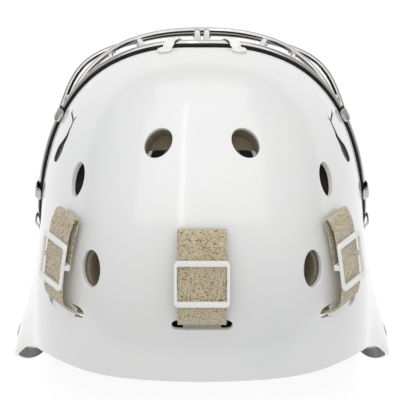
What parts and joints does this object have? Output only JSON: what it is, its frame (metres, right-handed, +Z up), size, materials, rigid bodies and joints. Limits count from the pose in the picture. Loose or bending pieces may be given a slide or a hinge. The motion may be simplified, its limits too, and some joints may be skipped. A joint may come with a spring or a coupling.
{
  "type": "hockey goalie mask",
  "caption": "White hockey goalie mask with a chrome wire cage, oval vents, foam lining, chin cup and a strapped back plate.",
  "frame": {"origin": "bottom centre of the whole mask, on the plane that it rests on", "axes": "-Y is where the face looks, +Z is up through the crown, +X is the left side of the wearer"},
  "size_m": [0.2614, 0.2485, 0.2965],
  "materials": {
    "shell_paint": "glossy white lacquer over a moulded composite",
    "rubber": "satin black",
    "chrome_wire": "bright",
    "plated_steel": "bright plated",
    "white_plastic": "semi-gloss moulded",
    "sweat_fabric": "brushed knit over foam",
    "foam": "fine closed-cell foam, matte",
    "webbing": "brushed loop pile",
    "shell_plastic": "fine satin moulded"
  },
  "bodies": {
    "mask": {"shell": "shell_paint", "face_gasket": "rubber", "cage": "chrome_wire", "top_clips": "white_plastic", "side_clips": "plated_steel", "chin_clips": "plated_steel", "cage_screws": "plated_steel", "cage_nuts": "plated_steel", "throat_eyelets": "plated_steel", "forehead_pad": "foam", "sweatband": "sweat_fabric", "crown_pad": "foam", "temple_pad_left": "foam", "temple_pad_right": "foam", "side_pad_left": "foam", "side_pad_right": "foam", "jaw_pad_left": "foam", "jaw_pad_right": "foam", "chin_bumper": "foam", "crown_strap": "webbing", "upper_strap_left": "webbing", "upper_strap_right": "webbing", "crown_elastic": "webbing", "upper_elastic_left": "webbing", "upper_elastic_right": "webbing", "lower_elastic_left": "webbing", "lower_elastic_right": "webbing", "jaw_anchors": "white_plastic", "snap_studs": "plated_steel"},
    "back_plate_body": {"back_plate": "shell_plastic", "back_plate_pad": "foam", "plate_rivets": "plated_steel"},
    "crown_slide_body": {"crown_slide": "white_plastic"},
    "upper_slide_left_body": {"upper_slide_left": "white_plastic"},
    "upper_slide_right_body": {"upper_slide_right": "white_plastic"},
    "chin_cup_body": {"chin_cup": "shell_plastic", "chin_cup_pad": "foam", "chin_sling_left": "webbing", "chin_sling_right": "webbing"}
  },
  "joints": [
    {"name": "back_plate_swing", "type": "hinge", "parent": "mask", "child": "back_plate_body", "pos_m": [0, 0.08769, 0.25014], "axis": [1, 0, 0], "range_deg": [0, 25], "stiffness_Nm_per_rad": 4, "deforming": ["crown_elastic", "upper_elastic_left", "upper_elastic_right", "lower_elastic_left", "lower_elastic_right"]},
    {"name": "crown_slide_shift", "type": "slide", "parent": "mask", "child": "crown_slide_body", "axis": [0, -0.8123, 0.5832], "range_m": [-0.008, 0.008]},
    {"name": "upper_slide_left_shift", "type": "slide", "parent": "mask", "child": "upper_slide_left_body", "axis": [-0.1343, -0.8584, 0.4951], "range_m": [-0.008, 0.008]},
    {"name": "upper_slide_right_shift", "type": "slide", "parent": "mask", "child": "upper_slide_right_body", "axis": [0.1343, -0.8584, 0.4951], "range_m": [-0.008, 0.008]},
    {"name": "chin_cup_swing", "type": "hinge", "parent": "mask", "child": "chin_cup_body", "pos_m": [0, -0.002, 0.1], "axis": [1, 0, 0], "range_deg": [-8, 12]}
  ]
}
